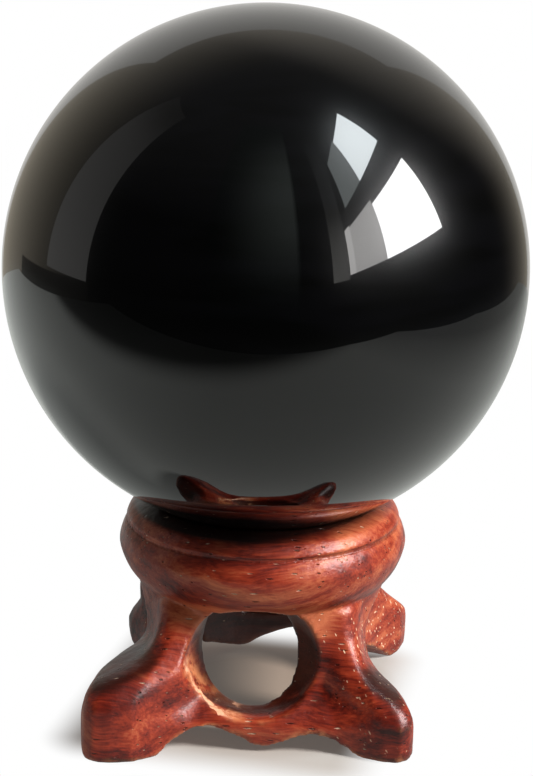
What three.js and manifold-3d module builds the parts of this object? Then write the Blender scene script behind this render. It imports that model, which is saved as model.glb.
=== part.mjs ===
// A polished ball of black obsidian resting on a small carved rosewood stand.
// Millimetres, +Z up. The origin is on the surface that the stand's feet rest on, under the ball's centre,
// and the stand's front face looks along -Y.
import * as THREE from "three";
import { mergeVertices } from "three/addons/utils/BufferGeometryUtils.js";
import Module from "manifold-3d";

// The ball, and the points round and along it
const BALL_RADIUS = 40;
const BALL_CENTRE_Z = 70.4;
const BALL_STEPS = [48, 24];

// The turned ring at the top of the stand, as [radius, height]: a round torus up from the neck, then a
// smaller bead up to the rim, with a crease between them. Its dish holds the ball.
const TORUS_PROFILE = [[19.7, 21.6], [21.5, 24], [22.6, 27.2], [22.1, 29.6], [21.5, 30.9]];
const BEAD_PROFILE = [[21.5, 31.15], [21.2, 32.1], [20.5, 33.1], [19.6, 33.6]];
const RING_BOTTOM = [19.3, 19.5];
const RING_STEPS = 56;
const DISH_RADIUS = 17.5;
const DISH_STEPS = 4;
const DISH_GAP = 0.3;

// The four-legged body, carved from a square block: a drum that draws in below the windows, and on each side
// a rail between the feet, leaning in under an arris and sloping back above it into the drum
const BODY_STEPS = 64;
const CROWDING = 0.13;
const WAIST_RADIUS = 19.3;
const WAIST_Z = 10;
const BASE_RADIUS = 17;
const BASE_Z = 5;
const RAILS = { left: 20, right: 17.4, front: 21.4, back: 21.2 };
const RAIL_ARRIS_Z = 4.3;
const RAIL_INSET = 0.7;
const RAIL_TOP_Z = 13;
const RAIL_SLOPE_BACK = 9;
const BLEND = 3;
const SOLE_ROUNDING = 1;
const FOOT_ROUNDING = 3;

// The outer faces of the hand-carved feet, seen from the side: [height, distance from the stand's middle].
// Above its shoulder each foot narrows into a leg that ends in the drum. The front faces of the front feet
// run up into the legs in one long slope.
const BACK_RIGHT_FACE = [
  [0, 24], [2.1, 24.3], [6, 24.3], [7.2, 24], [8.2, 23.2], [10, 21.6], [12, 20], [14, 18.3], [17, 16.4],
  [20, 15.4], [24, 14.5],
];
const BACK_LEFT_FACE = [
  [0, 23.6], [3.2, 24], [4.5, 23.9], [5.6, 23.4], [6.9, 22.5], [7.8, 21.8], [8.7, 21.5], [10.5, 21.9],
  [12.5, 22.1], [15, 21.8], [17.5, 20], [20, 17], [24, 14.5],
];
const FRONT_LEFT_FACE = [
  [0, 26.1], [7, 26], [9.8, 25.4], [11, 24.6], [11.9, 23.3], [12.5, 21.7], [13.1, 19.8], [14, 17.6],
  [15.6, 16], [18, 15.2], [24, 14.5],
];
const FRONT_LEFT_SLOPE = [
  [0, 26.1], [5, 26.1], [8, 25.9], [10, 25.2], [12, 23.4], [14.5, 20.5], [17, 18.2], [20, 16.2], [24, 14.5],
];
const FRONT_RIGHT_FACE = [
  [0, 23.9], [3.3, 24.1], [6, 24.1], [7.6, 23.6], [8.9, 22.6], [9.8, 21.3], [10.6, 19.6], [11.6, 17.8],
  [13, 16.4], [15, 15.6], [18, 15.1], [24, 14.5],
];
const FRONT_RIGHT_SLOPE = [
  [0, 23.9], [3.3, 24.1], [6, 24], [8, 23.2], [10, 21.8], [12, 20], [14.5, 17.9], [17, 16.3], [20, 15.2],
  [24, 14.5],
];

// The feet, one in each quarter of the plan: the outer faces along X and Y, and half the width of the
// diagonal leg that each foot ends
const FEET = [
  { faceX: BACK_RIGHT_FACE, faceY: BACK_RIGHT_FACE, stretch: 1, halfWidth: 3.8 },
  { faceX: BACK_LEFT_FACE, faceY: BACK_RIGHT_FACE, stretch: 1, halfWidth: 4.2 },
  { faceX: FRONT_LEFT_FACE, faceY: FRONT_LEFT_SLOPE, stretch: 1.025, halfWidth: 6.6 },
  { faceX: FRONT_RIGHT_FACE, faceY: FRONT_RIGHT_SLOPE, stretch: 1.015, halfWidth: 4.4 },
];

// The heights of the rows of points in the surface of the body
const BODY_ROWS = [
  0, 0.3, 1, 2.6, 4.3, 5.8, 7.2, 8.4, 9.5, 10.5, 11.4, 12.2, 13, 13.7, 14.4, 15.3, 16.6, 18.5, 20.8, 23,
];

// Each side of the body, seen from outside: the turn from the front, the round window's throat and mouth
// (how far off the middle, half widths, height of the centre, half height) and the scalloped lower edge
// of the rail (how far off the middle the drop hangs, the heights of the two arches beside it and how far off
// the middle they end at the feet)
const SIDES = [
  {
    turn: 0,
    throat: { shift: -1.6, halfWidth: 7.1 },
    mouth: { shift: -0.4, halfWidth: 10.1 },
    windowZ: 14.1,
    halfHeight: 9,
    drop: 0.9,
    leftArch: 4,
    rightArch: 3.1,
    leftFoot: 16,
    rightFoot: 17.6,
  },
  {
    turn: 90,
    throat: { shift: 0.3, halfWidth: 7.4 },
    mouth: { shift: -0.2, halfWidth: 10.6 },
    windowZ: 13.4,
    halfHeight: 7.8,
    drop: -0.6,
    leftArch: 3.5,
    rightArch: 3.9,
    leftFoot: 17.2,
    rightFoot: 18.4,
  },
  {
    turn: 180,
    throat: { shift: 0.8, halfWidth: 7 },
    mouth: { shift: 0.6, halfWidth: 9.8 },
    windowZ: 14.6,
    halfHeight: 6.4,
    drop: 3.3,
    leftArch: 4.2,
    rightArch: 1.3,
    leftFoot: 17.6,
    rightFoot: 17.4,
  },
  {
    turn: 270,
    throat: { shift: -0.6, halfWidth: 7.4 },
    mouth: { shift: -1.8, halfWidth: 9.8 },
    windowZ: 13.5,
    halfHeight: 7.7,
    drop: 0.4,
    leftArch: 3.8,
    rightArch: 3.3,
    leftFoot: 17.4,
    rightFoot: 16.4,
  },
];

// Where a window flares from throat to mouth, by distance from the axis, and how fast the mouth still widens
const WINDOW_STEPS = 30;
const WINDOW_ROWS = [5, 12.6, 14, 15.4, 16.6, 17.8, 21, 34];
const FLARE_FROM = 12.6;
const FLARE_TO = 17.6;
const MOUTH_GROWTH = 0.25;

// The scalloped edge of each rail: its haunches beside the feet, the drop, and how much the underside rises
// towards the hollow inside
const EDGE_STEPS = 28;
const HAUNCH_X = 12.6;
const LEFT_HAUNCH_SHARE = 0.6;
const RIGHT_HAUNCH_SHARE = 0.68;
const DROP_HALF_WIDTH = 3.4;
const DROP_Z = 0.6;
const UNDERSIDE_SLOPE = 0.27;
const RAIL_CUT_FROM = 10.5;
const RAIL_CUT_TO = 26;
const BELOW_FLOOR = -8;

// The hollow inside the legs, bored from below with a domed end, as [radius, height]
const BORE_STEPS = 36;
const BORE_DOME = [[15, 15], [12.4, 20.6], [6.5, 22.9], [0, 23.5]];
const BORE_DOME_STEPS = 6;

const manifold = await Module();
manifold.setup();

// A closed three.js geometry as a solid that can be joined and cut.
function solidOf(geometry) {
  const bare = new THREE.BufferGeometry();
  bare.setIndex(geometry.index);
  bare.setAttribute("position", geometry.attributes.position);
  const merged = mergeVertices(bare, 1e-4);
  const mesh = new manifold.Mesh({
    numProp: 3,
    vertProperties: merged.attributes.position.array,
    triVerts: new Uint32Array(merged.index.array),
  });
  return new manifold.Manifold(mesh);
}

// A solid as a three.js geometry again.
function geometryOf(solid) {
  const mesh = solid.getMesh();
  const geometry = new THREE.BufferGeometry();
  const positions = new THREE.BufferAttribute(mesh.vertProperties, mesh.numProp);
  geometry.setAttribute("position", positions);
  geometry.setIndex(new THREE.BufferAttribute(mesh.triVerts, 1));
  geometry.computeVertexNormals();
  return geometry;
}

// A cylinder of radius 1 along +Z from 0 to 1, each point moved to where place(angle, share, height) says.
function shapedCylinder(angleSteps, heightSteps, place) {
  const geometry = new THREE.CylinderGeometry(1, 1, 1, angleSteps, heightSteps);
  geometry.rotateX(Math.PI / 2);
  const points = geometry.attributes.position;
  for (let i = 0; i < points.count; i++) {
    const [x, y] = [points.getX(i), points.getY(i)];
    const placed = place(Math.atan2(y, x), Math.hypot(x, y), points.getZ(i) + 0.5);
    points.setXYZ(i, placed.x, placed.y, placed.z);
  }
  return solidOf(geometry);
}

// A profile of [radius, height] points turned about +Z.
function turned(profile, steps) {
  const points = profile.map(([radius, height]) => new THREE.Vector2(radius, height));
  const geometry = new THREE.LatheGeometry(points, steps);
  geometry.rotateX(Math.PI / 2);
  return solidOf(geometry);
}

// Points on a smooth curve through the given [radius, height] points.
function smooth(points, steps) {
  const curve = new THREE.SplineCurve(points.map(([x, y]) => new THREE.Vector2(x, y)));
  return curve.getPoints(steps).map((point) => [point.x, point.y]);
}

// The ring, with its torus, bead and a dish that follows the ball.
function carveRing() {
  const gapRadius = BALL_RADIUS + DISH_GAP;
  const dish = [];
  for (let step = 0; step <= DISH_STEPS; step++) {
    const radius = DISH_RADIUS * (1 - step / DISH_STEPS);
    dish.push([radius, BALL_CENTRE_Z - Math.sqrt(gapRadius ** 2 - radius ** 2)]);
  }
  const underside = [[0, RING_BOTTOM[1]], RING_BOTTOM];
  return turned([...underside, ...smooth(TORUS_PROFILE, 8), ...smooth(BEAD_PROFILE, 4), ...dish], RING_STEPS);
}

// The smaller of two distances, rounded over where they come close.
function blended(a, b) {
  const closeness = Math.max(0, BLEND - Math.abs(a - b)) / BLEND;
  return Math.min(a, b) - (closeness ** 2 * BLEND) / 4;
}

// The distance that a side view gives at a height.
function faceAt(face, z) {
  const next = face.findIndex(([height]) => height > z);
  const [[fromZ, from], [toZ, to]] = [face[next - 1], face[next]];
  return from + ((to - from) * (z - fromZ)) / (toZ - fromZ);
}

// How far a point of the plan at height z is outside the body: a drum, four straight rails and a square foot.
function outsideBody(x, y, z, foot) {
  const drawnOut = THREE.MathUtils.smoothstep(z, BASE_Z, WAIST_Z);
  const drum = Math.hypot(x, y) - THREE.MathUtils.lerp(BASE_RADIUS, WAIST_RADIUS, drawnOut);
  const above = RAIL_SLOPE_BACK * THREE.MathUtils.smoothstep(z, RAIL_ARRIS_Z, RAIL_TOP_Z);
  const below = RAIL_INSET * Math.max(0, 1 - z / RAIL_ARRIS_Z) ** 2;
  const rail = Math.max(x - RAILS.right, -x - RAILS.left, y - RAILS.back, -y - RAILS.front) + above + below;
  const pastX = Math.abs(x) - faceAt(foot.faceX, z) + FOOT_ROUNDING;
  const pastY = Math.abs(y) - faceAt(foot.faceY, z) * foot.stretch + FOOT_ROUNDING;
  const pastSide = Math.abs(Math.abs(x) - Math.abs(y)) * Math.SQRT1_2 - foot.halfWidth + FOOT_ROUNDING;
  const past = [pastX, pastY, pastSide];
  const corner = Math.hypot(...past.map((distance) => Math.max(distance, 0)));
  const toe = corner + Math.min(Math.max(...past), 0) - FOOT_ROUNDING;
  return blended(blended(drum, rail), toe);
}

// The foot in the same quarter of the plan as an angle.
function footAt(angle) {
  return FEET[Math.floor(THREE.MathUtils.euclideanModulo(angle, 2 * Math.PI) / (Math.PI / 2)) % 4];
}

// How far the body reaches from the axis at an angle and a height.
function bodyReach(angle, z) {
  const [x, y] = [Math.cos(angle), Math.sin(angle)];
  const foot = footAt(angle);
  let [inside, outside] = [0, 40];
  for (let halving = 0; halving < 24; halving++) {
    const reach = (inside + outside) / 2;
    if (outsideBody(x * reach, y * reach, z, foot) < 0) inside = reach;
    else outside = reach;
  }
  const edge = Math.max(0, 1 - z / SOLE_ROUNDING);
  return inside - SOLE_ROUNDING * (1 - Math.sqrt(1 - edge ** 2));
}

// The body, with its points drawn together towards the feet.
function carveBody() {
  return shapedCylinder(BODY_STEPS, BODY_ROWS.length - 1, (even, share, height) => {
    const angle = even + CROWDING * Math.sin(4 * even);
    const z = BODY_ROWS[Math.round(height * (BODY_ROWS.length - 1))];
    const reach = share * bodyReach(angle, z);
    return new THREE.Vector3(reach * Math.cos(angle), reach * Math.sin(angle), z);
  });
}

// The cutter of one window, along -Y from the hollow inside to clear of the front face.
function windowCutter(side) {
  return shapedCylinder(WINDOW_STEPS, WINDOW_ROWS.length - 1, (angle, share, depth) => {
    const out = WINDOW_ROWS[Math.round(depth * (WINDOW_ROWS.length - 1))];
    const flare = THREE.MathUtils.smoothstep(out, FLARE_FROM, FLARE_TO);
    const shift = THREE.MathUtils.lerp(side.throat.shift, side.mouth.shift, flare);
    const past = MOUTH_GROWTH * Math.max(0, out - FLARE_TO);
    const halfWidth = THREE.MathUtils.lerp(side.throat.halfWidth, side.mouth.halfWidth, flare) + past;
    const [across, up] = [share * Math.cos(angle), share * Math.sin(angle)];
    return new THREE.Vector3(shift + halfWidth * across, -out, side.windowZ + side.halfHeight * up);
  });
}

// The cutter of the space under one rail, along -Y: an arch on each side of the drop in the middle.
function archCutter(side) {
  const [dropLeft, dropRight] = [side.drop - DROP_HALF_WIDTH, side.drop + DROP_HALF_WIDTH];
  const edge = smooth(
    [
      [-side.leftFoot, -1],
      [-HAUNCH_X, side.leftArch * LEFT_HAUNCH_SHARE],
      [(dropLeft - HAUNCH_X) / 2, side.leftArch],
      [dropLeft, side.leftArch * LEFT_HAUNCH_SHARE],
      [side.drop, DROP_Z],
      [dropRight, side.rightArch * LEFT_HAUNCH_SHARE],
      [(dropRight + HAUNCH_X) / 2, side.rightArch],
      [HAUNCH_X, side.rightArch * RIGHT_HAUNCH_SHARE],
      [side.rightFoot, -1],
    ],
    EDGE_STEPS,
  );
  const outline = new THREE.Shape(edge.map(([x, z]) => new THREE.Vector2(x, z)));
  outline.lineTo(side.rightFoot, BELOW_FLOOR);
  outline.lineTo(-side.leftFoot, BELOW_FLOOR);
  outline.closePath();
  const depth = RAIL_CUT_TO - RAIL_CUT_FROM;
  const geometry = new THREE.ExtrudeGeometry(outline, { depth, bevelEnabled: false });
  geometry.rotateX(Math.PI / 2);
  geometry.translate(0, -RAIL_CUT_FROM, UNDERSIDE_SLOPE * RAILS.front);
  geometry.applyMatrix4(new THREE.Matrix4().makeShear(0, 0, 0, UNDERSIDE_SLOPE, 0, 0));
  return solidOf(geometry);
}

// The whole stand: body and ring in one piece, hollowed from below and cut through on each side.
function carveStand() {
  const wall = [[0, BELOW_FLOOR], [BORE_DOME[0][0], BELOW_FLOOR]];
  const bore = turned([...wall, ...smooth(BORE_DOME, BORE_DOME_STEPS)], BORE_STEPS);
  let stand = carveBody().add(carveRing()).subtract(bore);
  for (const side of SIDES) {
    for (const cutter of [windowCutter(side), archCutter(side)]) {
      stand = stand.subtract(cutter.rotate([0, 0, side.turn]));
    }
  }
  return stand;
}

const obsidian = new THREE.MeshStandardMaterial({ color: 0x060606, roughness: 0.04, metalness: 0 });
const rosewood = new THREE.MeshStandardMaterial({ color: 0x7a2e1b, roughness: 0.35, metalness: 0 });

const ball = new THREE.Mesh(new THREE.SphereGeometry(BALL_RADIUS, ...BALL_STEPS), obsidian);
ball.name = "obsidian_sphere";
ball.position.z = BALL_CENTRE_Z;

const stand = new THREE.Mesh(geometryOf(carveStand()), rosewood);
stand.name = "wood_stand";

const group = new THREE.Group();
group.add(ball, stand);
export default group;
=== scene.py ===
# A polished obsidian ball on its hand-carved rosewood stand, in the daylight of one window.
# Sizes are in millimetres and turned to metres where they meet Blender.
import math

import bmesh
import bpy
import numpy as np
from mathutils import Matrix, Vector, noise


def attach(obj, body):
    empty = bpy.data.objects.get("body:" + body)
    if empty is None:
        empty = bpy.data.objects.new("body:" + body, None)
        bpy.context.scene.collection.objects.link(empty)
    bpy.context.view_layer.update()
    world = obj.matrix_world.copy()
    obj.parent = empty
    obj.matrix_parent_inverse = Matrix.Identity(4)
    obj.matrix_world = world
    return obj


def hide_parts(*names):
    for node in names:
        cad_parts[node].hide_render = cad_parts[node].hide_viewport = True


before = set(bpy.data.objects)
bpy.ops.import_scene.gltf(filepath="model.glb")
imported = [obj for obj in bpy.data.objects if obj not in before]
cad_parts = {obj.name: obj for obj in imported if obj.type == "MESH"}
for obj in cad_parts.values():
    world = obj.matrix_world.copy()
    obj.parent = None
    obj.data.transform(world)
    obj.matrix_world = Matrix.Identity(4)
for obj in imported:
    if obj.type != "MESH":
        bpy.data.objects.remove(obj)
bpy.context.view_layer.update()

# The stand is carved from one block of rosewood: a turned ring with a dish for the ball, on four legs that
# run out into square feet, with a round window through each side. Knife and file leave soft arrises, and the
# wood is rubbed with a satin lacquer. It stands loose under the ball.
MM = 0.001
# the width of the skin's faces, how often it is rubbed even, and how far each round eases it in and back out
SKIN_STEP = 0.39
SKIN_ROUNDS = 34
SKIN_EASES = (0.5, -0.52)
# the ring's turned profile as (radius, height), from the drum up: torus, crease and bead
TORUS_PROFILE = [(19.7, 21.6), (21.5, 24), (22.6, 27.2), (22.2, 29.4), (21.6, 30.6)]
CREASE = (20.95, 30.95)
BEAD_PROFILE = [(21.55, 31.35), (21.2, 32.2), (20.5, 33.1), (19.6, 33.6)]
TORUS_STEPS = 32
BEAD_STEPS = 20
# the faces are halved between these two heights, further out than this radius
CREASE_BAND = (29.9, 32.2)
CREASE_REACH = 20.5
# the dish follows the ball that it holds
DISH_EDGE_RADIUS = 17.5
DISH_STEPS = 24
BALL_RADIUS = 40
BALL_CENTRE = Vector((0, 0, 70.4))
BALL_CLEARANCE = 0.03
# the carved legs become the turned ring between these heights, within this reach of the profile
RING_FROM = 20.2
RING_FULL = 21.8
RING_REACH = 1.2
# how deep and how long the waves of the knife are, what the turned ring has of them, and the heights between
# which they fade away to leave the soles flat
HAND_WOBBLE = 0.2
HAND_WOBBLE_LENGTH = 6.5
RING_WOBBLE_SHARE = 0.3
SOLE_BAND = (0.2, 2.5)
# how far the skin bends away from its neighbours on a full arris, and the shares of it between which an arris
# and a hollow show, each blurred so often
EDGE_CURVE = 0.041
ARRIS_BAND = (0.3, 1)
ARRIS_BLUR = 3
HOLLOW_BAND = (0.3, 1.2)
HOLLOW_BLUR = 6
# the chips in the arrises: how deep and how far apart, how much noise breaks one out, and the radii between
# which they start, outside the hollow
CHIP_DEPTH = 0.11
CHIP_LENGTH = 1.1
CHIP_BREAKS = (0.1, 0.45)
CHIP_FROM = (17, 19)
# the mouth of the front window: its middle and half its size, across and up, and as shares of that size where
# its bevel and its painted glint line run
WINDOW_MIDDLE = (-0.6, 14.1)
WINDOW_HALF = (10, 9)
BEVEL_AT = 0.97
BEVEL_WIDTH = 0.12
GLINT_LINE_AT = 1.01
GLINT_LINE_WAVER = 0.12


def points_of(mesh):
    """The mesh's points in millimetres."""
    flat = np.empty(len(mesh.vertices) * 3, np.float32)
    mesh.vertices.foreach_get("co", flat)
    return flat.reshape(-1, 3).astype(float) / MM


def set_points(mesh, points):
    """Moves the mesh's points to these places in millimetres."""
    mesh.vertices.foreach_set("co", (points * MM).astype(np.float32).ravel())
    mesh.update()


def even_skin(source, name, step):
    """A new object with the source's shape under one even skin of small faces."""
    piece = bpy.data.objects.new(name, source.data.copy())
    bpy.context.scene.collection.objects.link(piece)
    remesh = piece.modifiers.new("even_skin", "REMESH")
    remesh.mode = "VOXEL"
    remesh.voxel_size = step * MM
    remesh.use_smooth_shade = True
    skinned = piece.evaluated_get(bpy.context.evaluated_depsgraph_get())
    shaped = bpy.data.meshes.new_from_object(skinned)
    piece.modifiers.clear()
    piece.data = shaped
    shaped.name = name
    return piece


def neighbour_mean(mesh, values):
    """The mean of each point's neighbours, for one value or several at each point."""
    edges = np.empty(len(mesh.edges) * 2, np.int32)
    mesh.edges.foreach_get("vertices", edges)
    a, b = edges.reshape(-1, 2).T
    size = len(mesh.vertices)
    count = np.bincount(a, minlength=size) + np.bincount(b, minlength=size)
    sums = [
        np.bincount(a, column[b], size) + np.bincount(b, column[a], size)
        for column in np.atleast_2d(values.T)
    ]
    return np.array(sums).T.reshape(values.shape) / count.reshape([-1] + [1] * (values.ndim - 1))


def rub_smooth(mesh, points, rounds):
    """Evens out the skin as sandpaper does, without shrinking it: each round eases in and then back out."""
    for _ in range(rounds):
        for ease in SKIN_EASES:
            points = points + ease * (neighbour_mean(mesh, points) - points)
    return points


def smooth_line(points, steps):
    """A smooth curve through the points, with that many steps in all."""
    knots = np.array([points[0], *points, points[-1]], float)
    line = []
    for step in range(steps + 1):
        at = (len(points) - 1) * step / steps
        i = min(int(at), len(points) - 2)
        t = at - i
        p0, p1, p2, p3 = knots[i : i + 4]
        v0, v1 = (p2 - p0) / 2, (p3 - p1) / 2
        cubic = 2 * p1 - 2 * p2 + v0 + v1
        square = 3 * p2 - 3 * p1 - 2 * v0 - v1
        line.append(cubic * t**3 + square * t**2 + v0 * t + p1)
    return line


def dish_line(steps):
    """The dish from its edge to its middle, just clear of the ball."""
    radius = BALL_RADIUS + BALL_CLEARANCE
    return [
        (r, BALL_CENTRE.z - math.sqrt(radius**2 - r**2))
        for r in np.linspace(DISH_EDGE_RADIUS, 0, steps + 1)
    ]


def smoothstep(low, high, value):
    """0 up to low, 1 from high on, and a soft rise between them."""
    t = np.clip((value - low) / (high - low), 0, 1)
    return t * t * (3 - 2 * t)


def turn_true(points, line):
    """Moves the points near the ring onto its turned profile."""
    reach = np.hypot(points[:, 0], points[:, 1])
    near = np.flatnonzero(points[:, 2] > RING_FROM)
    spot = np.stack([reach[near], points[near, 2]], 1)
    start, end = np.array(line[:-1]), np.array(line[1:])
    along = end - start
    best = np.full(len(near), np.inf)
    place = spot.copy()
    for s, d in zip(start, along):
        t = np.clip((spot - s) @ d / max(d @ d, 1e-12), 0, 1)
        on = s + t[:, None] * d
        gap = np.linalg.norm(spot - on, axis=1)
        closer = gap < best
        best[closer] = gap[closer]
        place[closer] = on[closer]
    share = smoothstep(RING_FROM, RING_FULL, spot[:, 1])
    share *= 1 - smoothstep(RING_REACH / 2, RING_REACH, best)
    moved = spot + (place - spot) * share[:, None]
    turned = points.copy()
    grow = moved[:, 0] / np.maximum(spot[:, 0], 1e-6)
    turned[near, 0] *= grow
    turned[near, 1] *= grow
    turned[near, 2] = moved[:, 1]
    return turned


def split_band(mesh, low, high, reach):
    """Halves the faces in a band round the ring, so that they can hold its narrow crease."""
    cut = bmesh.new()
    cut.from_mesh(mesh)
    edges = []
    for edge in cut.edges:
        ends = [v.co / MM for v in edge.verts]
        if all(low < end.z < high and math.hypot(end.x, end.y) > reach for end in ends):
            edges.append(edge)
    bmesh.ops.subdivide_edges(cut, edges=edges, cuts=1, use_grid_fill=True)
    cut.to_mesh(mesh)
    cut.free()


def normals_of(mesh):
    """The way out of the wood at each point."""
    flat = np.empty(len(mesh.vertices) * 3, np.float32)
    mesh.vertex_normals.foreach_get("vector", flat)
    return flat.reshape(-1, 3).astype(float)


def curve_of(mesh, points, rounds):
    """How far the skin bends at each point: above 0 on an arris, below 0 in a hollow. Each round blurs it."""
    inward = neighbour_mean(mesh, points) - points
    curve = -(inward * normals_of(mesh)).sum(1)
    for _ in range(rounds):
        curve = neighbour_mean(mesh, curve)
    return curve


def chip_edges(mesh, points, edge):
    """Breaks small chips out of the arrises."""
    breaks = np.array([noise.noise(Vector(p) / CHIP_LENGTH) for p in points])
    depth = CHIP_DEPTH * edge * smoothstep(*CHIP_BREAKS, breaks)
    return points - normals_of(mesh) * depth[:, None]


def hand_cut(mesh, points):
    """Lets the surface wander a little, as a knife and a file do. The soles and the dish stay true."""
    normals = normals_of(mesh)
    drift = np.array([noise.noise(Vector(p) / HAND_WOBBLE_LENGTH) for p in points])
    share = 1 - (1 - RING_WOBBLE_SHARE) * smoothstep(RING_FROM, RING_FULL, points[:, 2])
    share *= smoothstep(*SOLE_BAND, points[:, 2])
    over_dish = np.hypot(points[:, 0], points[:, 1]) < DISH_EDGE_RADIUS + 1
    share[over_dish & (points[:, 2] > RING_FULL + 2)] = 0
    return points + normals * (HAND_WOBBLE * drift * share)[:, None]


stand = even_skin(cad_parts["wood_stand"], "carved_stand", SKIN_STEP)
set_points(stand.data, rub_smooth(stand.data, points_of(stand.data), SKIN_ROUNDS))
split_band(stand.data, *CREASE_BAND, CREASE_REACH)
torus_line = smooth_line(TORUS_PROFILE, TORUS_STEPS)
bead_line = smooth_line(BEAD_PROFILE, BEAD_STEPS)
ring_line = [*torus_line, CREASE, *bead_line, *dish_line(DISH_STEPS)]
stand_points = turn_true(points_of(stand.data), ring_line)
set_points(stand.data, stand_points)
arris = smoothstep(*ARRIS_BAND, curve_of(stand.data, stand_points, ARRIS_BLUR) / EDGE_CURVE)
stand_points = hand_cut(stand.data, stand_points)
set_points(stand.data, stand_points)
# only the legs, the rails and the windows chip: not the ring, nor the walls of the hollow
body_arris = arris * (1 - smoothstep(RING_FROM, RING_FULL, stand_points[:, 2]))
body_arris *= smoothstep(*CHIP_FROM, np.hypot(stand_points[:, 0], stand_points[:, 1]))
stand_points = chip_edges(stand.data, stand_points, body_arris)
stand_points[:, 2] = np.maximum(stand_points[:, 2], 0)
set_points(stand.data, stand_points)


def patch(*fades):
    """A soft patch of the wood. Each fade is a measure, where the patch is gone and where it is full."""
    share = 1.0
    for measure, gone, full in fades:
        share = share * smoothstep(gone, full, measure)
    return share


x, y, z = stand_points.T
reach = np.hypot(x, y)
in_front = patch((y, -4, -12))
across, upright = WINDOW_HALF
window_reach = np.hypot((x - WINDOW_MIDDLE[0]) / across, (z - WINDOW_MIDDLE[1]) / upright)
# painted light on the lit bevel of the front window, which is paled as the rubbed arrises are
off_bevel = np.abs(window_reach - BEVEL_AT)
bevel = patch((off_bevel, BEVEL_WIDTH, 0), (x, 0, -4), (y, -8, -11), (z, 16, 12))
arris = np.maximum(arris, bevel)
# painted shade in the hollows, darkest in the crease at the right and weak elsewhere
hollow_shade = smoothstep(*HOLLOW_BAND, -curve_of(stand.data, stand_points, HOLLOW_BLUR) / EDGE_CURVE)
hollow_shade *= 0.35 + 0.65 * patch((z, 28.5, 30), (x, -4, 10))
# painted shade darkens the front legs and the one at the back left
by_arch = in_front * patch((x, -20, -15), (z, 10, 6))
left_leg = patch((x, -7, -14), (z, 20, 15)) * (1 - 0.5 * patch((x, -20, -25))) * (1 - by_arch)
right_leg = patch((x, 6, 10), (x, 14, 11), (z, 20, 15))
right_foot = patch((x, 13, 19), (z, 15, 9))
right_rail = patch((x, 6, 9), (z, 10, 7))
shaded_legs = in_front * np.max([left_leg, right_leg, 0.7 * right_foot, 0.9 * right_rail], 0)
shaded_back_left_leg = patch((x, -13, -16), (y, 6, 10), (z, 23, 20))
# painted light: paler wood on the bevel, by the left arch, on the left foot's outer face, on the right leg's
# outer face, at the neck, on the front of the torus, at the right of the bead and on the foot at the back
# right
painted_light = [
    0.5 * bevel,
    0.5 * by_arch * patch((x, -7, -10)),
    0.8 * in_front * patch((x, -22, -25.5), (z, 14, 10)),
    0.2 * in_front * patch((x, 13, 15.5), (z, 5, 8), (z, 20, 17)),
    1.8 * in_front * patch((x, -16, -8), (x, 14, 9), (z, 16, 19), (z, 24, 21.5)),
    0.3 * in_front * patch((z, 22.5, 24.5), (z, 30, 29)),
    0.9 * patch((x, 8, 16), (z, 29.5, 30.5)),
    0.6 * patch((x, 13, 17), (y, 8, 12), (z, 20, 14)),
]
# the painted light less the painted shade
painted_light_shade = np.max(painted_light, 0) - 0.62 * shaded_legs - 0.8 * shaded_back_left_leg
# painted shade, thick in the hollow, in the dish under the ball on its left, on the right wall of the front
# window, and on the tops of the front feet and rail, where they lie in shade
in_bore = patch((reach, 20, 16), (z, 27, 25))
in_dish = patch((reach, 20.7, 19.8), (z, 28, 29)) * (0.97 - 0.72 * patch((x, -4, 14)))
in_window = patch((window_reach, 1.04, 0.94), (x, 1, 5), (y, -8, -11))
foot_top = patch((z, 5, 9), (z, 29, 28), (y, -10, -15))
rail_top = patch((z, 2, 4), (z, 11, 9), (y, -19.4, -18), (y, -10, -12))
facing_up = patch((normals_of(stand.data)[:, 2], 0.6, 0.85)) * np.maximum(foot_top, rail_top)
painted_shade = np.max([0.75 * in_bore, in_dish, 0.85 * in_window, 0.9 * facing_up], 0)
# the arris wear and the painted shade and light go to the shader as point attributes
for name, values in (("arris", arris), ("hollow_shade", hollow_shade), ("painted_shade", painted_shade), ("painted_light_shade", painted_light_shade)):
    mark = stand.data.attributes.new(name, "FLOAT", "POINT")
    mark.data.foreach_set("value", values.astype(np.float32))


def linear(colour):
    """An sRGB hex colour as the linear values that Blender works in."""
    parts = [int(colour[i : i + 2], 16) / 255 for i in (1, 3, 5)]
    return (*[c / 12.92 if c <= 0.04045 else ((c + 0.055) / 1.055) ** 2.4 for c in parts], 1)


def node(tree, kind, links=None, stops=None, **settings):
    """Adds one node with its settings. links gives each input a value or another node's output."""
    added = tree.nodes.new(kind)
    for name, value in settings.items():
        setattr(added, name, value)
    for name, value in (links or {}).items():
        if isinstance(value, bpy.types.NodeSocket):
            tree.links.new(value, added.inputs[name])
        else:
            added.inputs[name].default_value = value
    if stops:
        ramp = added.color_ramp
        while len(ramp.elements) < len(stops):
            ramp.elements.new(1)
        for element, (position, colour) in zip(ramp.elements, stops):
            element.position = position
            element.color = linear(colour)
    return added


def new_material(name):
    """An empty material and its node tree."""
    material = bpy.data.materials.new(name)
    material.use_nodes = True
    material.node_tree.nodes.clear()
    return material, material.node_tree


# Rosewood, hand-carved, filed and rubbed with a satin lacquer. The eye sees red-brown wood with darker growth
# layers, short pores that run with the grain along X, and soft broad highlights broken by those pores. The
# scale of each pattern is in cells per millimetre.
rosewood, tree = new_material("rosewood_satin_lacquer")
place = node(tree, "ShaderNodeTexCoord")
in_mm = node(tree, "ShaderNodeMapping", {"Vector": place.outputs["Object"], "Scale": (1000, 1000, 1000)})
split = node(tree, "ShaderNodeSeparateXYZ", {0: in_mm.outputs[0]})
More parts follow.
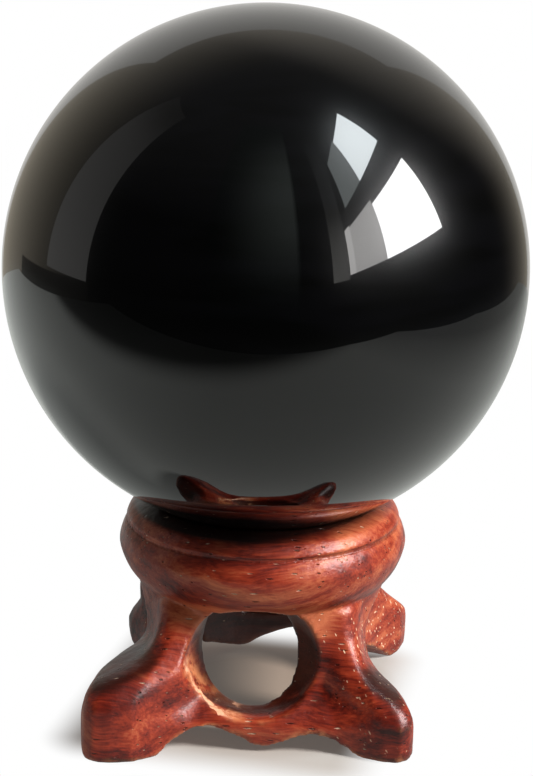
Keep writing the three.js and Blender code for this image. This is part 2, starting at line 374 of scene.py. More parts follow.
# the grain bends by 2 to 3 mm over some 18 mm
bend = node(
    tree,
    "ShaderNodeTexNoise",
    {"Vector": in_mm.outputs[0], "Scale": 0.055, "Detail": 2.0, "Roughness": 0.45},
)
bent = node(
    tree,
    "ShaderNodeVectorMath",
    {0: bend.outputs["Color"], 1: (5.0, 5.0, 7.0), 2: in_mm.outputs[0]},
    operation="MULTIPLY_ADD",
)
# growth layers about 4 mm thick curve about a pith 20 mm behind the middle and 50 mm under the floor
layers = node(
    tree,
    "ShaderNodeMapping",
    {"Vector": bent.outputs[0], "Location": (0, -1.2, 3.0), "Scale": (0.012, 0.06, 0.06)},
)
layer_split = node(tree, "ShaderNodeSeparateXYZ", {0: layers.outputs[0]})
layer_flat = node(
    tree,
    "ShaderNodeCombineXYZ",
    {0: 0.0, 1: layer_split.outputs[1], 2: layer_split.outputs[2]},
)
layer_radius = node(tree, "ShaderNodeVectorMath", {0: layer_flat.outputs[0]}, operation="LENGTH")
layer_place = node(
    tree,
    "ShaderNodeCombineXYZ",
    {0: layer_split.outputs[0], 1: layer_radius.outputs["Value"], 2: 0.0},
)
growth = node(
    tree,
    "ShaderNodeTexNoise",
    {"Vector": layer_place.outputs[0], "Scale": 4.6, "Detail": 3.0, "Roughness": 0.6},
)
# streaks of colour 20 mm long and 2 mm across
streak_place = node(tree, "ShaderNodeMapping", {"Vector": bent.outputs[0], "Scale": (0.05, 0.5, 0.5)})
streak = node(
    tree,
    "ShaderNodeTexNoise",
    {"Vector": streak_place.outputs[0], "Scale": 1.0, "Detail": 3.0, "Roughness": 0.6},
)
# fibres 5 mm long and 0.3 mm across: real ones are finer, and wouldn't show
fibre_place = node(tree, "ShaderNodeMapping", {"Vector": bent.outputs[0], "Scale": (0.2, 3.2, 3.2)})
fibre = node(
    tree,
    "ShaderNodeTexNoise",
    {"Vector": fibre_place.outputs[0], "Scale": 1.0, "Detail": 2.0, "Roughness": 0.6},
)
tone = node(
    tree,
    "ShaderNodeMix",
    {"Factor": 0.45, "A": growth.outputs["Fac"], "B": streak.outputs["Fac"]},
    data_type="FLOAT",
)
tone = node(
    tree,
    "ShaderNodeMix",
    {"Factor": 0.22, "A": tone.outputs[0], "B": fibre.outputs["Fac"]},
    data_type="FLOAT",
)
# the patches of painted shade and painted light shift the tone along the same colours
painted_light_shade_mark = node(tree, "ShaderNodeAttribute", attribute_name="painted_light_shade")
tone = node(
    tree,
    "ShaderNodeMath",
    {0: painted_light_shade_mark.outputs["Fac"], 1: 0.1, 2: tone.outputs[0]},
    operation="MULTIPLY_ADD",
)
wood = node(
    tree,
    "ShaderNodeValToRGB",
    {"Fac": tone.outputs[0]},
    [(0.34, "#2c0a06"), (0.43, "#62180c"), (0.52, "#8f301a"), (0.66, "#bd6440")],
)
# where the arrises are rubbed, the lacquer is thin and the wood pale, in patches about 2 mm across; on the
# bevel of the front window this paleness is painted light
arris_mark = node(tree, "ShaderNodeAttribute", attribute_name="arris")
rub_noise = node(
    tree,
    "ShaderNodeTexNoise",
    {"Vector": in_mm.outputs[0], "Scale": 0.55, "Detail": 3.0, "Roughness": 0.6},
)
rub_patch = node(
    tree,
    "ShaderNodeMapRange",
    {"Value": rub_noise.outputs["Fac"], "From Min": 0.4, "From Max": 0.6, "To Min": 0.0, "To Max": 0.85},
)
rub = node(
    tree,
    "ShaderNodeMath",
    {0: arris_mark.outputs["Fac"], 1: rub_patch.outputs[0]},
    operation="MULTIPLY",
)
rubbed_and_lit = node(
    tree,
    "ShaderNodeMix",
    {"Factor": rub.outputs[0], "A": wood.outputs["Color"], "B": linear("#d48658")},
    data_type="RGBA",
)
# painted shade darkens the hollows, the inside of the legs and the dish under the ball
hollow_shade_mark = node(tree, "ShaderNodeAttribute", attribute_name="hollow_shade")
painted_shade_mark = node(tree, "ShaderNodeAttribute", attribute_name="painted_shade")
hollow_shade_share = node(
    tree,
    "ShaderNodeMath",
    {0: hollow_shade_mark.outputs["Fac"], 1: 0.7},
    operation="MULTIPLY",
)
painted_shade_share = node(
    tree,
    "ShaderNodeMath",
    {0: hollow_shade_share.outputs[0], 1: painted_shade_mark.outputs["Fac"]},
    operation="MAXIMUM",
)
painted_shade = node(
    tree,
    "ShaderNodeMix",
    {"Factor": painted_shade_share.outputs[0], "A": rubbed_and_lit.outputs["Result"], "B": linear("#220904")},
    data_type="RGBA",
)
# a painted glint along the lower left bevel of the front window, a pale line 0.2 mm wide that wavers and
# breaks
from_window = node(
    tree,
    "ShaderNodeMapping",
    {
        "Vector": in_mm.outputs[0],
        "Location": (-WINDOW_MIDDLE[0] / across, 0, -WINDOW_MIDDLE[1] / upright),
        "Scale": (1 / across, 0, 1 / upright),
    },
)
window_far = node(tree, "ShaderNodeVectorMath", {0: from_window.outputs[0]}, operation="LENGTH")
off_line = node(
    tree,
    "ShaderNodeMath",
    {0: window_far.outputs["Value"], 1: GLINT_LINE_AT},
    operation="SUBTRACT",
)
off_line = node(
    tree,
    "ShaderNodeMath",
    {0: rub_noise.outputs["Fac"], 1: GLINT_LINE_WAVER, 2: off_line.outputs[0]},
    operation="MULTIPLY_ADD",
)
off_line = node(
    tree,
    "ShaderNodeMath",
    {0: off_line.outputs[0], 1: GLINT_LINE_WAVER / 2},
    operation="SUBTRACT",
)
off_line = node(tree, "ShaderNodeMath", {0: off_line.outputs[0]}, operation="ABSOLUTE")
painted_glint_line = node(
    tree,
    "ShaderNodeMapRange",
    {"Value": off_line.outputs[0], "From Min": 0.017, "From Max": 0.005, "To Min": 0.0, "To Max": 1.0},
)
for source, dark_at, pale_at in (
    (split.outputs[0], -2.0, -5.0),
    (split.outputs[1], -14.0, -16.0),
    (split.outputs[2], 14.5, 12.5),
    (streak.outputs["Fac"], 0.42, 0.56),
):
    part = node(
        tree,
        "ShaderNodeMapRange",
        {"Value": source, "From Min": dark_at, "From Max": pale_at, "To Min": 0.0, "To Max": 1.0},
    )
    painted_glint_line = node(
        tree,
        "ShaderNodeMath",
        {0: painted_glint_line.outputs[0], 1: part.outputs[0]},
        operation="MULTIPLY",
    )
painted_shade = node(
    tree,
    "ShaderNodeMix",
    {"Factor": painted_glint_line.outputs[0], "A": painted_shade.outputs["Result"], "B": linear("#dea583")},
    data_type="RGBA",
)
# pores: vessels 0.25 mm wide and 1 to 1.6 mm long, in two cells of five, each 0.7 mm across and 3.3 mm long
pore_place = node(tree, "ShaderNodeMapping", {"Vector": in_mm.outputs[0], "Scale": (0.3, 1.5, 1.5)})
pore = node(
    tree,
    "ShaderNodeTexVoronoi",
    {"Vector": pore_place.outputs[0], "Scale": 1.0, "Randomness": 1.0},
    feature="F1",
)
pore_shape = node(
    tree,
    "ShaderNodeMapRange",
    {"Value": pore.outputs["Distance"], "From Min": 0.24, "From Max": 0.10, "To Min": 0.0, "To Max": 1.0},
    interpolation_type="SMOOTHSTEP",
)
pore_pick = node(tree, "ShaderNodeSeparateColor", {0: pore.outputs["Color"]})
pore_here = node(
    tree,
    "ShaderNodeMath",
    {0: pore_pick.outputs[0], 1: 0.57},
    operation="GREATER_THAN",
)
pore_depth = node(
    tree,
    "ShaderNodeMath",
    {0: pore_shape.outputs[0], 1: pore_here.outputs[0]},
    operation="MULTIPLY",
)
# painted glints: in the patches where the lacquer is thin, one pore in two is painted pale
glint_pore_here = node(tree, "ShaderNodeMath", {0: pore_pick.outputs[1], 1: 0.5}, operation="GREATER_THAN")
glint_pore_share = node(
    tree,
    "ShaderNodeMath",
    {0: glint_pore_here.outputs[0], 1: rub_patch.outputs[0]},
    operation="MULTIPLY",
)
pore_dark = node(
    tree,
    "ShaderNodeMath",
    {0: pore_depth.outputs[0], 1: 0.75},
    operation="MULTIPLY",
)
pore_fill_and_glint = node(
    tree,
    "ShaderNodeMix",
    {"Factor": glint_pore_share.outputs[0], "A": linear("#2a0d07"), "B": linear("#ffd9b8")},
    data_type="RGBA",
)
pore_colour = node(
    tree,
    "ShaderNodeMix",
    {"Factor": pore_dark.outputs[0], "A": painted_shade.outputs["Result"], "B": pore_fill_and_glint.outputs["Result"]},
    data_type="RGBA",
)
# painted glints on the legs to the right: pale strokes aslant, 0.2 mm wide and 0.7 mm long, in half of the
# cells, where the wood isn't dark
aslant = node(tree, "ShaderNodeMapping", {"Vector": in_mm.outputs[0], "Rotation": (0.3, 0.5, 0)})
glint_stroke_place = node(tree, "ShaderNodeMapping", {"Vector": aslant.outputs[0], "Scale": (1.9, 1.9, 0.62)})
glint_stroke = node(
    tree,
    "ShaderNodeTexVoronoi",
    {"Vector": glint_stroke_place.outputs[0], "Scale": 1.0, "Randomness": 1.0},
    feature="F1",
)
glint_stroke_shape = node(
    tree,
    "ShaderNodeMapRange",
    {
        "Value": glint_stroke.outputs["Distance"],
        "From Min": 0.27,
        "From Max": 0.13,
        "To Min": 0.0,
        "To Max": 0.8,
    },
    interpolation_type="SMOOTHSTEP",
)
glint_stroke_pick = node(tree, "ShaderNodeSeparateColor", {0: glint_stroke.outputs["Color"]})
for source, none_at, all_at in (
    (glint_stroke_pick.outputs[0], 0.55, 0.56),
    (split.outputs[0], 8.0, 12.0),
    (split.outputs[2], 22.0, 19.0),
    (tone.outputs[0], 0.44, 0.52),
):
    part = node(
        tree,
        "ShaderNodeMapRange",
        {"Value": source, "From Min": none_at, "From Max": all_at, "To Min": 0.0, "To Max": 1.0},
    )
    glint_stroke_shape = node(
        tree,
        "ShaderNodeMath",
        {0: glint_stroke_shape.outputs[0], 1: part.outputs[0]},
        operation="MULTIPLY",
    )
pore_colour = node(
    tree,
    "ShaderNodeMix",
    {"Factor": glint_stroke_shape.outputs[0], "A": pore_colour.outputs["Result"], "B": linear("#ffdcb8")},
    data_type="RGBA",
)
# lacquer is satin on the wood and pools glossy in the pores, which glint
gloss = node(
    tree,
    "ShaderNodeMapRange",
    {"Value": pore_depth.outputs[0], "From Min": 0.0, "From Max": 1.0, "To Min": 0.46, "To Max": 0.12},
)
# the knife leaves facets about 1.5 mm across, and the fibres and pores show through the film of lacquer
tool = node(
    tree,
    "ShaderNodeTexNoise",
    {"Vector": in_mm.outputs[0], "Scale": 0.7, "Detail": 3.0, "Roughness": 0.55},
)
tool_bump = node(
    tree,
    "ShaderNodeBump",
    {"Height": tool.outputs["Fac"], "Distance": 0.22 * MM, "Strength": 0.5},
)
fibre_bump = node(
    tree,
    "ShaderNodeBump",
    {"Height": fibre.outputs["Fac"], "Distance": 0.05 * MM, "Strength": 0.5, "Normal": tool_bump.outputs[0]},
)
pore_bump = node(
    tree,
    "ShaderNodeBump",
    {
        "Height": pore_depth.outputs[0],
        "Distance": 0.16 * MM,
        "Strength": 1.0,
        "Normal": fibre_bump.outputs[0],
    },
    invert=True,
)
surface = node(
    tree,
    "ShaderNodeBsdfPrincipled",
    {
        "Base Color": pore_colour.outputs["Result"],
        "Roughness": gloss.outputs[0],
        "Specular IOR Level": 0.22,
        "Coat Weight": 0.36,
        "Coat Roughness": 0.23,
        "Coat IOR": 1.5,
        "Normal": pore_bump.outputs[0],
        "Coat Normal": pore_bump.outputs[0],
    },
)
node(tree, "ShaderNodeOutputMaterial", {"Surface": surface.outputs[0]})
stand.data.materials.clear()
stand.data.materials.append(rosewood)
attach(stand, "root")
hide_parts("wood_stand")

# The ball is black volcanic glass, ground round between rotating cups and polished to a mirror with a fine
# oxide. It rests by its weight in the dish of the ring.
BALL_RINGS = 128
BALL_STEPS = 256


def turned_ball(name, radius, centre, rings, steps):
    """A ball as a mesh of even rings."""
    points = [(0, 0, radius)]
    for ring in range(1, rings):
        tilt = math.pi * ring / rings
        for step in range(steps):
            turn = 2 * math.pi * step / steps
            points.append(
                (
                    radius * math.sin(tilt) * math.cos(turn),
                    radius * math.sin(tilt) * math.sin(turn),
                    radius * math.cos(tilt),
                )
            )
    points.append((0, 0, -radius))
    last = len(points) - 1
    faces = [(0, 1 + step, 1 + (step + 1) % steps) for step in range(steps)]
    for ring in range(rings - 2):
        upper, lower = 1 + ring * steps, 1 + (ring + 1) * steps
        for step in range(steps):
            after = (step + 1) % steps
            faces.append((upper + step, lower + step, lower + after, upper + after))
    bottom = 1 + (rings - 2) * steps
    faces += [(last, bottom + (step + 1) % steps, bottom + step) for step in range(steps)]
    mesh = bpy.data.meshes.new(name)
    mesh.from_pydata([(Vector(p) + centre) * MM for p in points], [], faces)
    mesh.shade_smooth()
    piece = bpy.data.objects.new(name, mesh)
    bpy.context.scene.collection.objects.link(piece)
    return piece


ball = turned_ball("polished_ball", BALL_RADIUS, BALL_CENTRE, BALL_RINGS, BALL_STEPS)

# Obsidian, ground and polished. The eye sees an almost black glass with a mirror skin: the sharp coat is the
# polish, and the weak rough layer under it is the haze that fine scratches leave round a bright light. The
# glass has flow bands about 4 mm thick that hardly show.
obsidian, tree = new_material("obsidian_mirror_polish")
place = node(tree, "ShaderNodeTexCoord")
flow_place = node(
    tree,
    "ShaderNodeMapping",
    {"Vector": place.outputs["Object"], "Rotation": (0.35, 0.2, 0), "Scale": (40, 40, 260)},
)
flow = node(
    tree,
    "ShaderNodeTexNoise",
    {"Vector": flow_place.outputs[0], "Scale": 1.0, "Detail": 3.0, "Roughness": 0.5, "Distortion": 0.8},
)
glass = node(
    tree,
    "ShaderNodeValToRGB",
    {"Fac": flow.outputs["Fac"]},
    [(0.4, "#000000"), (0.6, "#020203")],
)
flow_haze = node(
    tree,
    "ShaderNodeMapRange",
    {"Value": flow.outputs["Fac"], "From Min": 0.3, "From Max": 0.7, "To Min": 0.244, "To Max": 0.256},
)
# the foot of the ball was polished last and has no haze
ball_split = node(tree, "ShaderNodeSeparateXYZ", {0: place.outputs["Object"]})
haze = node(
    tree,
    "ShaderNodeMapRange",
    {
        "Value": ball_split.outputs[2],
        "From Min": 0.045,
        "From Max": 0.06,
        "To Min": 0.03,
        "To Max": flow_haze.outputs[0],
    },
    interpolation_type="SMOOTHSTEP",
)
surface = node(
    tree,
    "ShaderNodeBsdfPrincipled",
    {
        "Base Color": glass.outputs["Color"],
        "Roughness": haze.outputs[0],
        "IOR": 1.5,
        "Specular IOR Level": 0.12,
        "Coat Weight": 1.0,
        "Coat Roughness": 0.015,
        "Coat IOR": 1.5,
    },
)
node(tree, "ShaderNodeOutputMaterial", {"Surface": surface.outputs[0]})
ball.data.materials.append(obsidian)
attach(ball, "root")
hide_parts("obsidian_sphere")

# The stage is a plain white floor in a dim room. The camera sees only the floor; the polished ball mirrors a
# white table top of limited size, a white board behind, pale walls and one divided window to the right.
FLOOR_SIZE = 12000
FLOOR_HEIGHT = -0.03
# the paper is grey within this turned box under the stand, and has washed out this far from it
SHADOW_MIDDLE = (-2.8, -1, 0)
SHADOW_TURN = 0.2
SHADOW_HALF = (18.5, 20, 100)
SHADOW_FADE = 9.0


def flat_piece(name, corners, material):
    """One flat face of the stage."""
    mesh = bpy.data.meshes.new(name)
    mesh.from_pydata([Vector(c) * MM for c in corners], [], [tuple(range(len(corners)))])
    mesh.materials.append(material)
    piece = bpy.data.objects.new(name, mesh)
    bpy.context.scene.collection.objects.link(piece)
    return piece


def hide_from(piece, *rays):
    """Leaves the piece out of what these kinds of light ray see."""
    for ray in rays:
        setattr(piece, "visible_" + ray, False)


# Matt white paper: grey where the stand shades it, and fading to plain white emission further off.
paper, tree = new_material("floor_paper_white")
place = node(tree, "ShaderNodeTexCoord")
in_mm = node(tree, "ShaderNodeMapping", {"Vector": place.outputs["Object"], "Scale": (1000, 1000, 1000)})
from_middle = node(
    tree,
    "ShaderNodeMapping",
    {"Vector": in_mm.outputs[0], "Location": SHADOW_MIDDLE, "Rotation": (0, 0, -SHADOW_TURN)},
    vector_type="TEXTURE",
)
each_way = node(tree, "ShaderNodeVectorMath", {0: from_middle.outputs[0]}, operation="ABSOLUTE")
past = node(tree, "ShaderNodeVectorMath", {0: each_way.outputs[0], 1: SHADOW_HALF}, operation="SUBTRACT")
past = node(tree, "ShaderNodeVectorMath", {0: past.outputs[0], 1: (0, 0, 0)}, operation="MAXIMUM")
distance = node(tree, "ShaderNodeVectorMath", {0: past.outputs[0]}, operation="LENGTH")
washed = node(
    tree,
    "ShaderNodeMapRange",
    {
        "Value": distance.outputs["Value"],
        "From Min": 0.0,
        "From Max": SHADOW_FADE,
        "To Min": 0.0,
        "To Max": 1.0,
    },
    interpolation_type="SMOOTHSTEP",
)
# painted shade and warm painted bounce light from the red wood: the paper is darker and warmer inside the
# legs
from_axis = node(tree, "ShaderNodeVectorMath", {0: in_mm.outputs[0]}, operation="LENGTH")
outside = node(
    tree,
    "ShaderNodeMapRange",
    {"Value": from_axis.outputs["Value"], "From Min": 15.0, "From Max": 24.0, "To Min": 0.0, "To Max": 1.0},
)
paper_tone = node(
    tree,
    "ShaderNodeMix",
    {"Factor": outside.outputs[0], "A": linear("#807063"), "B": linear("#a5a29e")},
    data_type="RGBA",
)
# the shaded paper also glows a little: painted fill light
shaded = node(
    tree,
    "ShaderNodeBsdfPrincipled",
    {
        "Base Color": paper_tone.outputs["Result"],
        "Roughness": 0.8,
        "Specular IOR Level": 0.1,
        "Emission Color": linear("#e0d6cc"),
        "Emission Strength": 0.13,
    },
)
lit = node(tree, "ShaderNodeEmission", {"Color": linear("#ffffff"), "Strength": 1.0})
both = node(tree, "ShaderNodeMixShader", {0: washed.outputs[0], 1: shaded.outputs[0], 2: lit.outputs[0]})
node(tree, "ShaderNodeOutputMaterial", {"Surface": both.outputs[0]})
paper.cycles.emission_sampling = "NONE"
half = FLOOR_SIZE / 2
floor = flat_piece(
    "pale_floor",
    [(x, y, FLOOR_HEIGHT) for x, y in ((-half, -half), (half, -half), (half, half), (-half, half))],
    paper,
)
hide_from(floor, "diffuse", "glossy", "shadow", "transmission")

# The same paper as the ball and the stand see it. Its light falls off towards the front edge and the right
# side, and rises towards the left.
# The way to the front edge is 20 degrees left of straight ahead.
TABLE_HEIGHT = -0.06
TABLE_FRONT_WAY = (-0.342, -0.94, 0)
TABLE_OUTLINE = [
    (-480, -240),
    (-122, -205),
    (0, -192),
    (130, -186),
    (232, -160),
    (320, 40),
    (300, 300),
    (-450, 310),
]
table_paper, tree = new_material("table_paper_white")
place = node(tree, "ShaderNodeTexCoord")
place_split = node(tree, "ShaderNodeSeparateXYZ", {0: place.outputs["Object"]})
right_side = node(
    tree,
    "ShaderNodeMapRange",
    {"Value": place_split.outputs[0], "From Min": 0.12, "From Max": 0.23, "To Min": 1.0, "To Max": 0.35},
)
forward = node(
    tree,
    "ShaderNodeVectorMath",
    {0: place.outputs["Object"], 1: TABLE_FRONT_WAY},
    operation="DOT_PRODUCT",
)
fade = node(
    tree,
    "ShaderNodeMapRange",
    {"Value": forward.outputs["Value"], "From Min": 0.108, "From Max": 0.17, "To Min": 1.0, "To Max": 0.07},
    interpolation_type="SMOOTHSTEP",
)
share = node(tree, "ShaderNodeMath", {0: right_side.outputs[0], 1: fade.outputs[0]}, operation="MULTIPLY")
left_side = node(
    tree,
    "ShaderNodeMapRange",
    {"Value": place_split.outputs[0], "From Min": -0.03, "From Max": -0.12, "To Min": 0.5, "To Max": 0.95},
)
glow_share = node(
    tree,
    "ShaderNodeMath",
    {0: share.outputs[0], 1: left_side.outputs[0]},
    operation="MULTIPLY",
)
table_white = node(
    tree,
    "ShaderNodeMix",
    {"Factor": share.outputs[0], "A": linear("#000000"), "B": linear("#7f817f")},
    data_type="RGBA",
)
table_glow = node(
    tree,
    "ShaderNodeMix",
    {"Factor": glow_share.outputs[0], "A": linear("#000000"), "B": linear("#f6fcf8")},
    data_type="RGBA",
)
surface = node(
    tree,
    "ShaderNodeBsdfPrincipled",
    {
        "Base Color": table_white.outputs["Result"],
        "Roughness": 0.8,
        "Specular IOR Level": 0.1,
        "Emission Color": table_glow.outputs["Result"],
        "Emission Strength": 0.43,
    },
)
node(tree, "ShaderNodeOutputMaterial", {"Surface": surface.outputs[0]})
table_paper.cycles.emission_sampling = "NONE"
table = flat_piece("mirrored_table", [(x, y, TABLE_HEIGHT) for x, y in TABLE_OUTLINE], table_paper)
hide_from(table, "camera", "shadow", "transmission")

# The walls of the room, as softly shaded cards that only mirrors see. Where a card fades away it takes the
# room's own shade, which is dim below and rises to the ceiling's grey above. The sine of the elevation says
# where the ceiling starts.
CARD_STEPS = 20
CARD_TOP_FROM = 0.7
CARD_SOFT_TOP_FROM = 0.6
CARD_RIGHT_FADE = 0.05
ROOM_DIM = 0.015
ROOM_CEILING = 0.075
CEILING_FROM = 0.35
WALL = 1900


def glow_card(name, colour, distance, corners, top=None, soft=0):
    """A card on the wall. corners gives bearing and elevation in degrees from the ball's centre, and
    brightness, at the lower left, lower right, upper right and upper left. top is the brightness that its
    upper third fades to, and soft the share of its width over which its left and bottom edges fade away."""
    c = np.array(corners, float)
    points, shades = [], []
    for row in range(CARD_STEPS + 1):
        for column in range(CARD_STEPS + 1):
            u, v = column / CARD_STEPS, row / CARD_STEPS
            lower = c[0] * (1 - u) + c[1] * u
            upper = c[3] * (1 - u) + c[2] * u
            bearing, elevation, shade = lower * (1 - v) + upper * v
            b, e = math.radians(bearing), math.radians(elevation)
            if top is not None:
                shade += (top - shade) * smoothstep(CARD_TOP_FROM, 1, v)
            if soft:
                fade = smoothstep(0, soft, u) * smoothstep(0, CARD_RIGHT_FADE, 1 - u)
                fade *= smoothstep(0, soft / 2, v) * (1 - smoothstep(CARD_SOFT_TOP_FROM, 1, v))
                ceiling_share = smoothstep(CEILING_FROM, 1, math.sin(e))
                room_shade = ROOM_DIM + (ROOM_CEILING - ROOM_DIM) * ceiling_share
                shade = room_shade + (shade - room_shade) * fade
            way = Vector((math.cos(e) * math.cos(b), math.cos(e) * math.sin(b), math.sin(e)))
            points.append((BALL_CENTRE + way * distance) * MM)
            shades.append(shade)
    wide = CARD_STEPS + 1
    faces = [
        (row * wide + col, row * wide + col + 1, (row + 1) * wide + col + 1, (row + 1) * wide + col)
        for row in range(CARD_STEPS)
        for col in range(CARD_STEPS)
    ]
    mesh = bpy.data.meshes.new(name)
    mesh.from_pydata(points, [], faces)
    mesh.attributes.new("shade", "FLOAT", "POINT").data.foreach_set("value", shades)
    material, tree = new_material(name + "_glow")
    shade = node(tree, "ShaderNodeAttribute", attribute_name="shade")
    light = node(tree, "ShaderNodeEmission", {"Color": linear(colour), "Strength": shade.outputs["Fac"]})
    node(tree, "ShaderNodeOutputMaterial", {"Surface": light.outputs[0]})
    material.cycles.emission_sampling = "NONE"
    mesh.materials.append(material)
    piece = bpy.data.objects.new(name, mesh)
    bpy.context.scene.collection.objects.link(piece)
    hide_from(piece, "camera", "shadow", "transmission")
    return piece


# at the left a pale panel over a dark gap, in front a pale column of wall, and the window's jamb in two parts
glow_card(
    "left_panel",
    "#fffdfa",
    WALL - 20,
    [(167.5, -2.5, 0.47), (192.5, -2.5, 0.5), (192.5, 62, 0.2), (167.5, 62, 0.22)],
    top=0.12,
)
glow_card(
    "column",
    "#f2fff8",
    WALL,
    [(-114, -12, 0.02), (-73, -12, 0.03), (-73, 72, 0.62), (-114, 72, 0.3)],
    soft=0.95,
)
glow_card(
    "jamb_low",
    "#fffef8",
    WALL - 400,
    [(-60, 5, 1.1), (-53, 6, 0.9), (-53, 34, 0.15), (-60, 34, 0.1)],
    top=0.2,
)
glow_card(
    "jamb_high",
    "#fbfdff",
    WALL - 400,
    [(-60, 34, 0.2), (-53, 34, 0.2), (-52, 62, 0.16), (-60, 60, 0.12)],
    top=0.1,
)
glow_card(
    "table_gap",
    "#fff8f0",
    WALL - 40,
    [(146, -14, 0.03), (194, -14, 0.03), (194, -2.5, 0.03), (146, -4.5, 0.03)],
)

# A white board stands upright behind the ball, and shows as the bright cap near the ball's top.
BOARD_BEHIND = 300
BOARD_GLOW = 0.66
board_material, tree = new_material("white_board_glow")
light = node(tree, "ShaderNodeEmission", {"Color": linear("#fffdf8"), "Strength": BOARD_GLOW})
node(tree, "ShaderNodeOutputMaterial", {"Surface": light.outputs[0]})
board_material.cycles.emission_sampling = "NONE"
board = flat_piece(
    "white_board",
    [(x, BOARD_BEHIND, z) for x, z in ((-165, 0), (165, 0), (225, 425), (-265, 475))],
    board_material,
)
hide_from(board, "camera", "shadow", "transmission")

# The window is one upright plane of four panes, the lower left one in two parts. Each is a soft rectangle of
# daylight: left, right, low and high as shares of the window's distance, then radiance and colour.
WINDOW_BEARING = math.radians(10)
WINDOW_DISTANCE = 1500
PANES = {
    "lower_right": (-1.01, -0.26, 0.29, 0.907, 25.0, "#ffffff"),
    "lower_left": (-1.72, -1.015, 0.29, 0.97, 5.8, "#fffdfb"),
    "lower_left_edge": (-1.92, -1.72, 0.29, 1.0, 7.6, "#fffdfb"),
    "upper_right": (-1.03, -0.33, 1.29, 2.43, 16.0, "#f4fcff"),
    "upper_left": (-1.68, -1.03, 1.29, 2.5, 2.0, "#f0fafa"),
}
facing = Vector((math.cos(WINDOW_BEARING), math.sin(WINDOW_BEARING), 0))
along = Vector((-math.sin(WINDOW_BEARING), math.cos(WINDOW_BEARING), 0))
up = Vector((0, 0, 1))
turn = Matrix((along, up, facing)).transposed()
for name, (left, right, low, high, radiance, colour) in PANES.items():
    lamp = bpy.data.lights.new("window_" + name, "AREA")
    lamp.shape = "RECTANGLE"
    lamp.size = (right - left) * WINDOW_DISTANCE * MM
    lamp.size_y = (high - low) * WINDOW_DISTANCE * MM
    lamp.energy = radiance * math.pi * lamp.size * lamp.size_y
    lamp.color = linear(colour)[:3]
    pane = bpy.data.objects.new("window_" + name, lamp)
    bpy.context.scene.collection.objects.link(pane)
    middle = BALL_CENTRE + WINDOW_DISTANCE * (facing + along * (left + right) / 2 + up * (low + high) / 2)
    pane.matrix_world = Matrix.Translation(middle * MM) @ turn.to_4x4()
    hide_from(pane, "camera", "diffuse")

# The sky through the window, as one soft round light that shades but is not mirrored. Its size is in metres
# and its power in watts.
KEY_BEARING = math.radians(-27)
KEY_ELEVATION = math.radians(41)
KEY_DISTANCE = 1500
KEY_TARGET = Vector((0, 0, 30))
KEY_SIZE = 0.42
KEY_POWER = 44
key_lamp = bpy.data.lights.new("sky_light", "AREA")
key_lamp.shape = "DISK"
key_lamp.size = KEY_SIZE
key_lamp.energy = KEY_POWER
key_lamp.color = linear("#fffdfa")[:3]
key = bpy.data.objects.new("sky_light", key_lamp)
bpy.context.scene.collection.objects.link(key)
key_way = Vector(
    (
        math.cos(KEY_ELEVATION) * math.cos(KEY_BEARING),
        math.cos(KEY_ELEVATION) * math.sin(KEY_BEARING),
        math.sin(KEY_ELEVATION),
    )
)
key_at = KEY_TARGET + key_way * KEY_DISTANCE
key.matrix_world = Matrix.Translation(key_at * MM) @ key_way.to_track_quat("Z", "Y").to_matrix().to_4x4()
hide_from(key, "camera", "glossy")

# The room beyond is dim below and rises to the ceiling's grey above, with two soft patches of light, and the
# camera sees it white. Each patch is bearing, elevation, full within, gone beyond, radiance and colour.
ROOM_PATCHES = [
    (110, 0, 20, 80, 0.35, "#fff3dc"),
    (66, 37, 12, 36, 0.24, "#fff6e8"),
]
world = bpy.data.worlds.new("studio_room")
bpy.context.scene.world = world
world.use_nodes = True
tree = world.node_tree
tree.nodes.clear()
path = node(tree, "ShaderNodeLightPath")
way = node(tree, "ShaderNodeTexCoord")
height = node(tree, "ShaderNodeSeparateXYZ", {0: way.outputs["Generated"]})
ceiling = node(
    tree,
    "ShaderNodeMapRange",
    {
        "Value": height.outputs[2],
        "From Min": CEILING_FROM,
        "From Max": 1.0,
        "To Min": ROOM_DIM,
        "To Max": ROOM_CEILING,
    },
    interpolation_type="SMOOTHSTEP",
)
room = node(tree, "ShaderNodeBackground", {"Color": linear("#ffffff"), "Strength": ceiling.outputs[0]})
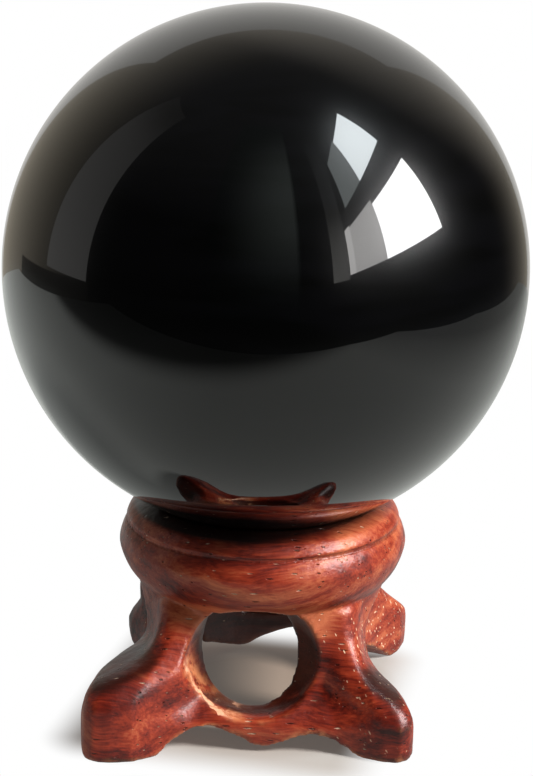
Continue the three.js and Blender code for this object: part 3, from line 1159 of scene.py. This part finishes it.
for bearing, elevation, full, gone, radiance, colour in ROOM_PATCHES:
    b, e = math.radians(bearing), math.radians(elevation)
    middle = (math.cos(e) * math.cos(b), math.cos(e) * math.sin(b), math.sin(e))
    toward = node(
        tree,
        "ShaderNodeVectorMath",
        {0: way.outputs["Generated"], 1: middle},
        operation="DOT_PRODUCT",
    )
    patch_light = node(
        tree,
        "ShaderNodeMapRange",
        {
            "Value": toward.outputs["Value"],
            "From Min": math.cos(math.radians(gone)),
            "From Max": math.cos(math.radians(full)),
            "To Min": 0.0,
            "To Max": radiance,
        },
        interpolation_type="SMOOTHSTEP",
    )
    glow = node(tree, "ShaderNodeBackground", {"Color": linear(colour), "Strength": patch_light.outputs[0]})
    room = node(tree, "ShaderNodeAddShader", {0: room.outputs[0], 1: glow.outputs[0]})
white = node(tree, "ShaderNodeBackground", {"Color": linear("#ffffff"), "Strength": 1.0})
seen = node(
    tree,
    "ShaderNodeMixShader",
    {0: path.outputs["Is Camera Ray"], 1: room.outputs[0], 2: white.outputs[0]},
)
node(tree, "ShaderNodeOutputWorld", {"Surface": seen.outputs[0]})

# The camera looks down a little on the ball from the front, from about 28 cm away and through a long lens, so
# that the ball fills the frame from side to side.
CAMERA_AT = Vector((10.62, -278.04, 126.89))
CAMERA_YAW = 0.037
CAMERA_PITCH = 0.2641
CAMERA_ROLL = 0.0125
CAMERA_LENS = 85.97
CAMERA_FILM = 36
camera_data = bpy.data.cameras.new("photo_camera")
camera_data.lens = CAMERA_LENS
camera_data.sensor_width = CAMERA_FILM
camera_data.clip_start = 0.01
camera_data.clip_end = 50
camera = bpy.data.objects.new("photo_camera", camera_data)
bpy.context.scene.collection.objects.link(camera)
aim = (
    Matrix.Rotation(CAMERA_YAW, 4, "Z")
    @ Matrix.Rotation(math.pi / 2 - CAMERA_PITCH, 4, "X")
    @ Matrix.Rotation(CAMERA_ROLL, 4, "Z")
)
camera.matrix_world = Matrix.Translation(CAMERA_AT * MM) @ aim
bpy.context.scene.camera = camera
bpy.context.scene.view_settings.view_transform = "Standard"
